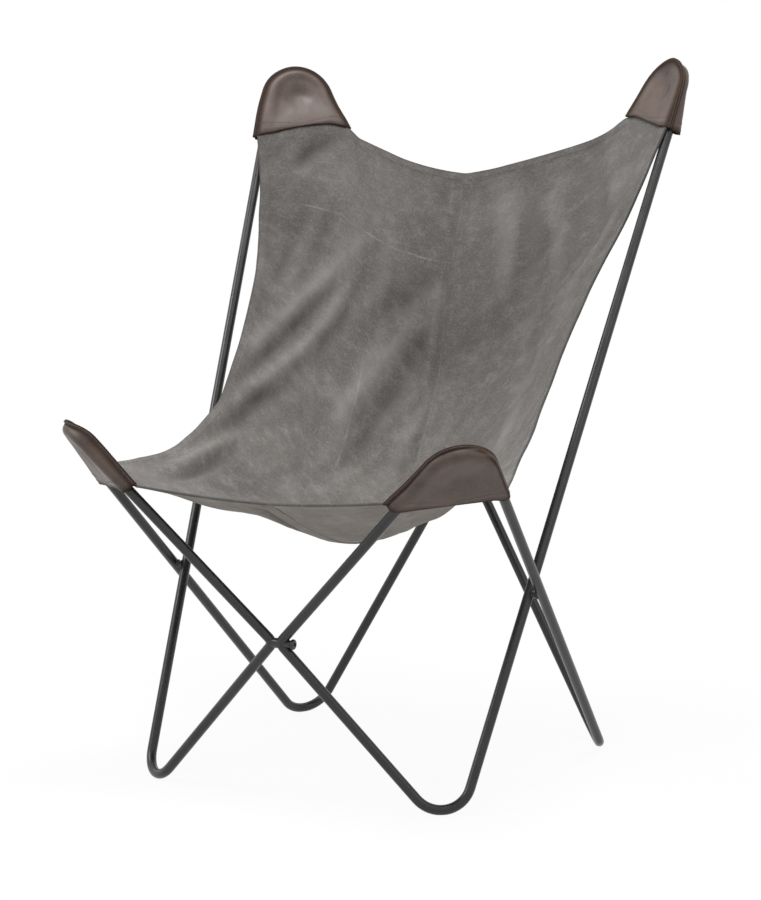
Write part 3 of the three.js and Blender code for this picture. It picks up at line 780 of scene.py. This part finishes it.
def stitch_shape():
    bm = bmesh.new()
    bmesh.ops.create_uvsphere(bm, u_segments=6, v_segments=4, radius=1)
    return mesh_from("one_stitch", bm)


STITCH = stitch_shape()
SKIN_LENGTH = 60
RIM_STITCHED = 2.2
RIM_LINE = 1.45
MOUTH_LINES = (2.6, 6.4)
OVER_LEATHER = LEATHER_THICKNESS / 2 + 0.12 * MM


def add_stitches(name, lines, finish, hand, pitch, length, radius):
    bm = bmesh.new()
    for line in lines:
        for place, along, out in spaced(line, pitch):
            along = along.normalized()
            across = out.cross(along).normalized()
            turn = Matrix((along, across, along.cross(across))).transposed().to_4x4()
            size = Matrix.Diagonal((length / 2, radius, radius * 0.8, 1))
            spot = Matrix.Translation(place) @ turn @ size
            STITCH.transform(spot)
            bm.from_mesh(STITCH)
            STITCH.transform(spot.inverted())
    mirror_to(bm, hand)
    bmesh.ops.recalc_face_normals(bm, faces=bm.faces)
    return add_piece(name, bm, [finish])


def skin_line(pocket, part, spots):
    side = 1 if part == "seat" else -1
    line = []
    for share, depth in spots:
        here = pocket.skin(part, share, depth)
        along = pocket.skin(part, share - 0.01, depth) - pocket.skin(part, share + 0.01, depth)
        inward = pocket.skin(part, share, depth + 0.1) - pocket.skin(part, share, depth - 0.1)
        out = along.cross(inward).normalized()
        if out.dot(pocket.out) * side < 0:
            out = -out
        line.append((here + out * OVER_LEATHER, out))
    return line


def along_mouth(pocket, part, from_mouth):
    """From the inner rim along the mouth to the outer rim, at a distance from the mouth in millimetres."""
    share = 1 - from_mouth / SKIN_LENGTH
    first = RIM_STITCHED
    last = len(pocket.rings(part, 0)) + 0.9
    steps = [first + (last - first) * step / 30 for step in range(31)]
    there = [(share, depth) for depth in steps]
    back = [(-share, depth) for depth in reversed(steps)]
    return there + back[1:]


for (end, hand), pocket in POCKETS.items():
    lines = []
    for part in ("seat", "outer"):
        rim = [(mix(-0.985, 0.985, step / 80), RIM_LINE) for step in range(81)]
        lines.append(skin_line(pocket, part, rim))
        for from_mouth in MOUTH_LINES:
            lines.append(skin_line(pocket, part, along_mouth(pocket, part, from_mouth)))
    add_stitches(
        f"{end}_pocket_stitches_{SIDES[hand]}", lines, LEATHER_THREAD, hand,
        pitch=3.6 * MM, length=2.6 * MM, radius=0.36 * MM,
    )


# Canvas sling: each panel spans from the seam (0) to the side edge (1) and from the front (0) to the top (1)

# The centre seam, in y and in height, and the side edge
SEAM_POINTS = [
    (-300, 377), (-190, 329), (-90, 301), (0, 303), (75, 345), (130, 424), (167, 489), (185, 562),
    (206, 636), (243, 731), (256, 766),
]
SIDE_POINTS = [
    (253, -138, 409), (241, -89, 425), (241, -53, 440), (239, -29, 455), (238, -8, 471), (241, 24, 510),
    (243, 52, 550), (246, 81, 590), (252, 111, 630), (263, 138, 670), (276, 163, 710), (286, 184, 750),
]
# How far each hand's side edge differs from that line, in x and in height
SIDE_SHIFTS = {
    1: [(2, 0), (1.4, 0), (-4, 0), (-5.5, 0), (-7.5, 0), (-7.7, 0), (-5, 0), (-1.7, 0)],
    -1: [(-1, -2.5), (0, 0), (0, 0), (0, 0), (0, 0), (-1, 0), (-2.5, 0), (-1, 0)],
}
# How the free front and top edges climb from the seam to the pocket
FRONT_CLIMB = (0, 0.097, 0.265, 0.477, 0.724, 1)
EDGE_CLIMBS = {
    ("front", 1): FRONT_CLIMB,
    ("front", -1): FRONT_CLIMB,
    ("top", 1): (0, 0.042, 0.096, 0.17, 0.244, 0.325, 0.41, 0.502, 0.61, 0.768, 1),
    ("top", -1): (0, 0.036, 0.09, 0.16, 0.243, 0.342, 0.46, 0.574, 0.684, 0.797, 1),
}
CORNER_SHARE = 0.62
CANVAS_SWEEP = 1.75
CORNER_REACH = 2.6
PANEL_WIDTH = 0.25
PANEL_LENGTH = 0.87


class EvenLine:
    """A smooth line through points, read by the share of its length."""

    def __init__(self, points):
        self.points = [points[0]]
        for i in range(len(points) - 1):
            before = points[max(i - 1, 0)]
            here, there = points[i], points[i + 1]
            after = points[min(i + 2, len(points) - 1)]
            handle = here + (there - before) / 6
            other = there - (after - here) / 6
            self.points += interpolate_bezier(here, handle, other, there, 16)[1:]
        self.known = {}
        self.lengths = [0]
        for here, there in zip(self.points, self.points[1:]):
            self.lengths.append(self.lengths[-1] + (there - here).length)

    def at(self, share):
        if share not in self.known:
            self.known[share] = self.find(share)
        return self.known[share]

    def find(self, share):
        want = share * self.lengths[-1]
        low = min(max(bisect_right(self.lengths, want) - 1, 0), len(self.lengths) - 2)
        part = (want - self.lengths[low]) / (self.lengths[low + 1] - self.lengths[low])
        return self.points[low].lerp(self.points[low + 1], part)


# Soft folds of each panel: a fold's line as (across, along), how far it rises or sinks, and its half width
LEFT_FOLDS = [
    (((1.0, 0.409), (0.908, 0.549), (0.775, 0.659), (0.625, 0.749), (0.483, 0.829)), 6, 12),
    (((0.942, 0.424), (0.842, 0.534), (0.742, 0.619), (0.667, 0.679)), -5, 9),
    (((0.975, 0.299), (0.9, 0.429), (0.783, 0.534), (0.675, 0.629), (0.55, 0.719), (0.483, 0.784)), 5.5, 11),
    (((0.942, 0.234), (0.9, 0.339), (0.825, 0.434), (0.725, 0.524)), -5, 10),
    (((0.625, 0.619), (0.525, 0.714), (0.417, 0.809)), -3.5, 10),
    (((0.433, 0.719), (0.342, 0.784), (0.292, 0.874)), 3.5, 11),
    (((0.3, 0.734), (0.175, 0.779), (0.083, 0.829)), -4.5, 11),
    (((0.458, 0.459), (0.425, 0.559), (0.325, 0.654), (0.15, 0.739)), 6, 15),
    (((0.317, 0.489), (0.267, 0.554), (0.2, 0.634), (0.133, 0.699)), -5, 13),
    (((0.05, 0.679), (0.03, 0.739), (0.03, 0.844)), 2.5, 9),
    (((0.125, 0.474), (0.075, 0.544), (0.033, 0.594)), 4, 11),
    (((0.1, 0.59), (0.058, 0.635)), -3, 9),
    (((0.817, 0.92), (0.767, 0.95), (0.683, 0.97)), -9, 9),
    (((0.792, 0.14), (0.8, 0.21), (0.8, 0.295)), -7, 7),
    (((0.883, 0.125), (0.883, 0.225), (0.867, 0.32)), 6, 8),
    (((0.933, 0.629), (0.867, 0.719), (0.8, 0.789), (0.775, 0.859)), -3, 9),
    (((0.892, 0.624), (0.792, 0.739), (0.708, 0.824)), 2.5, 9),
    (((0.725, 0.769), (0.608, 0.879)), -3, 10),
    (((0.633, 0.789), (0.5, 0.884)), 2, 10),
    (((0.085, 0.03), (0.072, 0.07), (0.07, 0.12), (0.08, 0.19)), 8, 6),
    (((0.21, 0.09), (0.17, 0.14), (0.15, 0.18)), 3, 10),
]
RIGHT_FOLDS = [
    (((0.142, 0.985), (0.233, 0.905), (0.308, 0.77)), 4, 13),
    (((0.258, 0.97), (0.392, 0.84), (0.475, 0.695)), -4, 13),
    (((0.4, 0.92), (0.508, 0.835), (0.575, 0.735)), 3, 12),
    (((0.517, 0.945), (0.733, 0.825)), -3.5, 10),
    (((0.758, 0.72), (0.858, 0.78), (0.883, 0.84)), 3, 11),
    (((0.492, 0.675), (0.608, 0.57)), -3, 12),
    (((0.62, 0.52), (0.72, 0.36)), 3, 14),
    (((0.84, 0.10), (0.70, 0.24)), -3, 9),
]
FOLD_STRENGTH = {1: 1.5, -1: 1.3}
FOLD_SLANT = {1: 0.05, -1: 0.32}
FULL_FOLD = 7
# Slanting ripples between the folds: height, size across and along, and where in the noise they are read
RIPPLES = ((1.9, 17, 110, 7.3), (1.1, 8, 60, 2.9))
# The belly is drawn up beside the seam: the far side more than the near one
BELLY_RISE = {
    1: (0, 0, 1, 1.5, -0.5, -6, -6, -4, -1, 0, 0),
    -1: (0, -1.5, 10, 9, 2.5, 0.5, 0, 0, 0, 0, 0),
}
# Just behind its front edge the far side sags
FRONT_SAG = {1: (0, 0), -1: (0, 0.5, 3.5, 4.2, 2.8, 1, 0, 0, 0, 0, 0)}


def fold_rise(fold, across, along):
    points, rise, width = fold
    here = Vector((across * PANEL_WIDTH, along * PANEL_LENGTH))
    nearest = None
    for step, (start, end) in enumerate(zip(points, points[1:])):
        start = Vector((start[0] * PANEL_WIDTH, start[1] * PANEL_LENGTH))
        line = Vector((end[0] * PANEL_WIDTH, end[1] * PANEL_LENGTH)) - start
        share = (here - start).dot(line) / line.length_squared
        low = -1.0 if step == 0 else 0.0
        high = 2.0 if step == len(points) - 2 else 1.0
        share = min(max(share, low), high)
        away = (here - start - line * share).length
        if nearest is None or away < nearest[0]:
            nearest = (away, step + share)
    away = nearest[0] / (width * MM)
    if away > 3:
        return 0.0
    share = nearest[1] / (len(points) - 1)
    ends = smoothstep(-0.3, 0.4, share) * (1 - smoothstep(0.6, 1.3, share))
    return rise * exp(-away * away) * ends


class Panel:
    """One half of the sling, made on the right hand side."""

    def __init__(self, hand):
        self.hand = hand
        self.front = POCKETS["front", hand]
        self.rear = POCKETS["rear", hand]
        seam = [Vector((0, back * MM + BACK_SHIFT, height * MM)) for back, height in SEAM_POINTS]
        side = [Vector((x * MM, y * MM + BACK_SHIFT, z * MM)) for x, y, z in SIDE_POINTS]
        for point, (aside, higher) in zip(side, SIDE_SHIFTS[hand]):
            point += Vector((aside, 0, higher)) * MM
        self.front_middle = seam[0]
        self.top_middle = seam[-1]
        self.seam = EvenLine(seam)
        self.side = EvenLine([self.front.mouth(1)] + side + [self.rear.mouth(1)])
        self.folds = RIGHT_FOLDS if hand > 0 else LEFT_FOLDS
        self.ends = {}

    def end_edge(self, end_name, middle, pocket, share, back_power):
        if share > CORNER_SHARE:
            return pocket.mouth((share - CORNER_SHARE) / (1 - CORNER_SHARE))
        end = pocket.mouth(0)
        part = share / CORNER_SHARE
        back = mix(middle.y, end.y, part ** back_power)
        height = mix(middle.z, end.z, smooth_read(EDGE_CLIMBS[end_name, self.hand], part))
        return Vector((end.x * part, back, height))

    def pulls(self, u):
        """How far the panel's two ends are pulled from where the cloth would hang by seam and side alone."""
        if u not in self.ends:
            front = self.end_edge("front", self.front_middle, self.front, u, 1.1) - self.hung(u, 0)
            top = self.end_edge("top", self.top_middle, self.rear, u, 2.2) - self.hung(u, 1)
            self.ends[u] = (front, top)
        return self.ends[u]

    def hung(self, u, v):
        seam = self.seam.at(v)
        side = self.side.at(v)
        sweep = u ** CANVAS_SWEEP
        return Vector((side.x * u, mix(seam.y, side.y, sweep), mix(seam.z, side.z, sweep)))

    def smooth_place(self, u, v):
        front, top = self.pulls(u)
        return self.hung(u, v) + front * (1 - v) ** CORNER_REACH + top * v ** CORNER_REACH

    def out(self, u, v):
        step = 0.002
        u = min(u, 1 - step)
        v = min(v, 1 - step)
        here = self.smooth_place(u, v)
        across = self.smooth_place(u + step, v) - here
        along = self.smooth_place(u, v + step) - here
        return across.cross(along).normalized()

    def fold(self, u, v):
        """Drawn folds, broken a little along their length, and the small slanting ripples between them."""
        across = u * PANEL_WIDTH / MM
        along = v * PANEL_LENGTH / MM
        uneven = 1 + 0.45 * noise.noise(Vector((across / 30, along / 45, self.hand * 1.7)))
        rise = FOLD_STRENGTH[self.hand] * uneven * sum(fold_rise(fold, u, v) for fold in self.folds)
        slant = FOLD_SLANT[self.hand]
        beside = across * cos(slant) + along * sin(slant)
        length = along * cos(slant) - across * sin(slant)
        for height, wide, long, seed in RIPPLES:
            rise += height * noise.noise(Vector((beside / wide, length / long, self.hand * seed)))
        rise += 0.4 * noise.noise(Vector((across / 9, along / 12, self.hand * 5.1)))
        held = smoothstep(0, 0.05, u) * smoothstep(0, 0.05, v) * (1 - smoothstep(0.97, 1, v))
        return rise * held * (1 - 0.5 * smoothstep(0.85, 1, u))

    def belly(self, u, v):
        rise = smooth_read(BELLY_RISE[self.hand], u)
        sag = smooth_read(FRONT_SAG[self.hand], u) * exp(-((v - 0.075) / 0.045) ** 2)
        return rise * smoothstep(0.02, 0.14, v) * (1 - smoothstep(0.28, 0.50, v)) - sag

    def place(self, u, v):
        return self.smooth_place(u, v) + self.out(u, v) * ((self.fold(u, v) + self.belly(u, v)) * MM)


panels = {hand: Panel(hand) for hand in (1, -1)}

HEM_ACROSS = HEM_WIDTH / PANEL_WIDTH
HEM_ALONG = HEM_WIDTH / PANEL_LENGTH
FINE_COLUMNS = 44
FINE_ROWS = 96
PANEL_COLUMNS = [0.0, 0.003, 0.018, 0.03]
PANEL_COLUMNS += [mix(0.05, 0.93, step / FINE_COLUMNS) for step in range(FINE_COLUMNS + 1)]
PANEL_COLUMNS += [1 - HEM_ACROSS * 1.14, 1 - HEM_ACROSS, 1 - HEM_ACROSS * 0.5, 1 - HEM_ACROSS * 0.12, 1.0]
EDGE_ROWS = [0.0, HEM_ALONG * 0.12, HEM_ALONG * 0.5, HEM_ALONG, HEM_ALONG * 1.14]
PANEL_ROWS = EDGE_ROWS + [mix(0.03, 0.97, step / FINE_ROWS) for step in range(FINE_ROWS + 1)]
PANEL_ROWS += [1 - row for row in reversed(EDGE_ROWS)]
TUCK_ROWS = 2
TUCK = 9 * MM
SIDE_TUCK = 5 * MM


def panel_point(panel, u, row):
    """A point of the panel; rows before the first and after the last one go on into the pockets."""
    last = len(PANEL_ROWS) - 1
    if 0 <= row <= last:
        return panel.place(u, PANEL_ROWS[row])
    beyond = -row if row < 0 else row - last
    v, pocket = (0, panel.front) if row < 0 else (1, panel.rear)
    edge = panel.place(u, v)
    away = (edge - panel.place(u, 0.004 if v == 0 else 0.996)).normalized()
    inside = smoothstep(CORNER_SHARE, CORNER_SHARE + 0.05, u)
    deep = beyond / TUCK_ROWS
    drawn_in = SIDE_TUCK * smoothstep(0.88, 1, u) * deep * (2 - deep)
    tucked = pocket.bend.along * drawn_in - pocket.bend.inward * (TUCK * deep)
    return edge + away * (0.3 * MM * beyond) * (1 - inside) + tucked * inside


def lay_flat(bm, flat):
    """Writes each point's place on the cut cloth into the mesh."""
    cut = bm.loops.layers.uv["cut"]
    for face in bm.faces:
        for loop in face.loops:
            loop[cut].uv = flat[loop.vert]


def add_panel(panel):
    bm = bmesh.new()
    bm.loops.layers.uv.new("cut")
    fold_mark = bm.verts.layers.float.new("fold")
    rim_mark = bm.verts.layers.float.new("rim")
    hemmed = bm.verts.layers.deform.verify()
    rows = len(PANEL_ROWS) + 2 * TUCK_ROWS
    columns = len(PANEL_COLUMNS)
    bmesh.ops.create_grid(bm, x_segments=columns - 1, y_segments=rows - 1, size=0.5)
    flat = {}
    for vert in bm.verts:
        column = round((vert.co.x + 0.5) * (columns - 1))
        row = round((vert.co.y + 0.5) * (rows - 1)) - TUCK_ROWS
        u = PANEL_COLUMNS[column]
        v = PANEL_ROWS[min(max(row, 0), len(PANEL_ROWS) - 1)]
        vert.co = panel_point(panel, u, row)
        if column == 0:
            vert.co.x = 0.01 * MM
        at_side = u >= 1 - HEM_ACROSS - 0.001
        at_end = min(v, 1 - v) <= HEM_ALONG + 0.0001 and u < CORNER_SHARE
        vert[hemmed][0] = 1.0 if at_side or at_end else (0.25 if u < 0.025 else 0.0)
        vert[fold_mark] = panel.fold(u, v) / FULL_FOLD
        vert[rim_mark] = 1.0 if u == 1 or (v in (0, 1) and u < CORNER_SHARE) else 0.0
        flat[vert] = (u * PANEL_WIDTH + (0.5 if panel.hand > 0 else 0), v * PANEL_LENGTH)
    lay_flat(bm, flat)
    mirror_to(bm, panel.hand)
    bm.normal_update()
    up = sum(face.normal.z for face in bm.faces)
    if up < 0:
        bmesh.ops.reverse_faces(bm, faces=bm.faces)
    side = SIDES[panel.hand]
    piece = add_piece(
        f"canvas_half_{side}", bm, [CANVAS, CANVAS_BACK], [f"canvas_panel_{side}"],
    )
    piece.vertex_groups.new(name="hem")
    thicken(piece, HEM_THICKNESS, 1.0, "hem", CANVAS_THICKNESS / HEM_THICKNESS)
    return piece


halves = {hand: add_panel(panel) for hand, panel in panels.items()}


def panel_line(panel, spots, thickness):
    line = []
    for u, v in spots:
        out = panel.out(u, v)
        line.append((panel.place(u, v) + out * (thickness / 2 + 0.1 * MM), out))
    return line


for hand, panel in panels.items():
    shares = [step / 160 for step in range(161)]
    stitched = 1 - HEM_ACROSS * 0.8
    side_hem = [(stitched, mix(0.02, 0.98, share)) for share in shares]
    front_hem = [(mix(0.01, 0.6, share), HEM_ALONG * 0.8) for share in shares]
    top_hem = [(mix(0.01, 0.6, share), 1 - HEM_ALONG * 0.8) for share in shares]
    beside_seam = [(4.3 * MM / PANEL_WIDTH, mix(0.01, 0.99, share)) for share in shares]
    lines = [panel_line(panel, spots, HEM_THICKNESS) for spots in (side_hem, front_hem, top_hem)]
    lines.append(panel_line(panel, beside_seam, CANVAS_THICKNESS * 1.25))
    add_stitches(
        f"canvas_stitches_{SIDES[hand]}", lines, CANVAS_THREAD, hand,
        pitch=4.2 * MM, length=3.2 * MM, radius=0.4 * MM,
    )


TAPE_COLUMNS = (-9, -8.4, -4.5, 0, 4.5, 8.4, 9)
TAPE_ROWS = 110
TAPE_UNDER_CANVAS = 1.52 * MM
TAPE_THICKNESS = 0.9 * MM


def add_seam_tape():
    panel = panels[1]
    last = len(TAPE_COLUMNS) - 1
    bm = bmesh.new()
    bm.loops.layers.uv.new("cut")
    bmesh.ops.create_grid(bm, x_segments=last, y_segments=TAPE_ROWS, size=0.5)
    flat = {}
    for vert in bm.verts:
        offset = TAPE_COLUMNS[round((vert.co.x + 0.5) * last)] * MM
        v = mix(0.004, 0.996, vert.co.y + 0.5)
        flat[vert] = (offset + 0.9, v * PANEL_LENGTH)
        out = panel.out(0, v)
        out.x = 0
        spot = panel.smooth_place(abs(offset) / panel.side.at(v).x, v)
        spot -= out.normalized() * TAPE_UNDER_CANVAS
        vert.co = (offset, spot.y, spot.z)
    lay_flat(bm, flat)
    piece = add_piece("seam_tape_woven", bm, [CANVAS_BACK], ["centre_seam_tape"])
    thicken(piece, TAPE_THICKNESS, 1.0)
    return piece


tape = add_seam_tape()


# Studio

def turn_to(thing, place, aim):
    thing.location = place
    thing.rotation_euler = (Vector(aim) - Vector(place)).to_track_quat("-Z", "Y").to_euler()


def add_lamp(name, place, aim, size, power):
    lamp = add_object(name, bpy.data.lights.new(name, "AREA"))
    lamp.data.shape = "SQUARE"
    lamp.data.size = size
    lamp.data.energy = power
    turn_to(lamp, place, aim)


def seen_directly(owner):
    """1 where the camera, a reflection or a glass sees the surroundings, and 0 where they only give light."""
    rays = add_node(owner, "ShaderNodeLightPath")
    seen = rays.outputs["Is Camera Ray"]
    for other in ("Is Glossy Ray", "Is Transmission Ray"):
        seen = math(owner, "MAXIMUM", seen, rays.outputs[other])
    return seen


def show_both(owner, share, lit, white, output):
    both = add_node(owner, "ShaderNodeMixShader")
    for place, value in enumerate((share, lit.outputs[0], white.outputs[0])):
        link(owner, value, both.inputs[place])
    link(owner, both.outputs[0], owner.node_tree.nodes[output].inputs["Surface"])


def add_floor():
    finish = new_finish("pale_floor", (0.9, 0.9, 0.9))
    lit = set_shader(finish, {"Base Color": (0.9, 0.9, 0.9), "Roughness": 0.9})
    white = add_node(finish, "ShaderNodeEmission", {"Strength": 1.0})
    place = add_node(finish, "ShaderNodeTexCoord")
    far = add_node(finish, "ShaderNodeVectorMath", operation="LENGTH")
    link(finish, place.outputs["Object"], far.inputs[0])
    plain = map_range(finish, far.outputs["Value"], 0.45, 1.3, 0.94, 1)
    share = math(finish, "MULTIPLY", seen_directly(finish), plain)
    show_both(finish, share, lit, white, "Material Output")
    bm = bmesh.new()
    bmesh.ops.create_circle(bm, cap_ends=True, segments=96, radius=14)
    mesh = mesh_from("studio_floor", bm)
    mesh.materials.append(finish)
    add_object("studio_floor", mesh)


def add_world():
    world = bpy.data.worlds.new("white_studio")
    bpy.context.scene.world = world
    world.use_nodes = True
    lit = world.node_tree.nodes["Background"]
    lit.inputs["Color"].default_value = (1, 1, 1, 1)
    lit.inputs["Strength"].default_value = 0.32
    white = add_node(world, "ShaderNodeBackground", {"Color": (1, 1, 1, 1), "Strength": 1.0})
    show_both(world, seen_directly(world), lit, white, "World Output")


def add_camera():
    camera = add_object("photo_camera", bpy.data.cameras.new("photo_camera"))
    camera.data.sensor_fit = "VERTICAL"
    camera.data.sensor_height = 36
    camera.data.lens = 107.89
    turn_to(camera, (1.6186, -3.1047, 0.8361), (0, 0.00535, 0.4108))
    bpy.context.scene.camera = camera


add_floor()
add_world()
add_camera()
add_lamp("top_light", (0.3, -0.3, 3.2), (0, 0, 0.5), 1.2, 71)
add_lamp("key_light", (-2.0, -1.3, 2.3), (0, 0, 0.5), 1.1, 30)
add_lamp("side_light", (2.9, -1.1, 2.6), (0, 0, 0.6), 1.6, 10)
add_lamp("front_fill", (0.6, -3.6, 1.2), (0, 0, 0.4), 2.4, 3)
bpy.context.scene.view_settings.view_transform = "Standard"
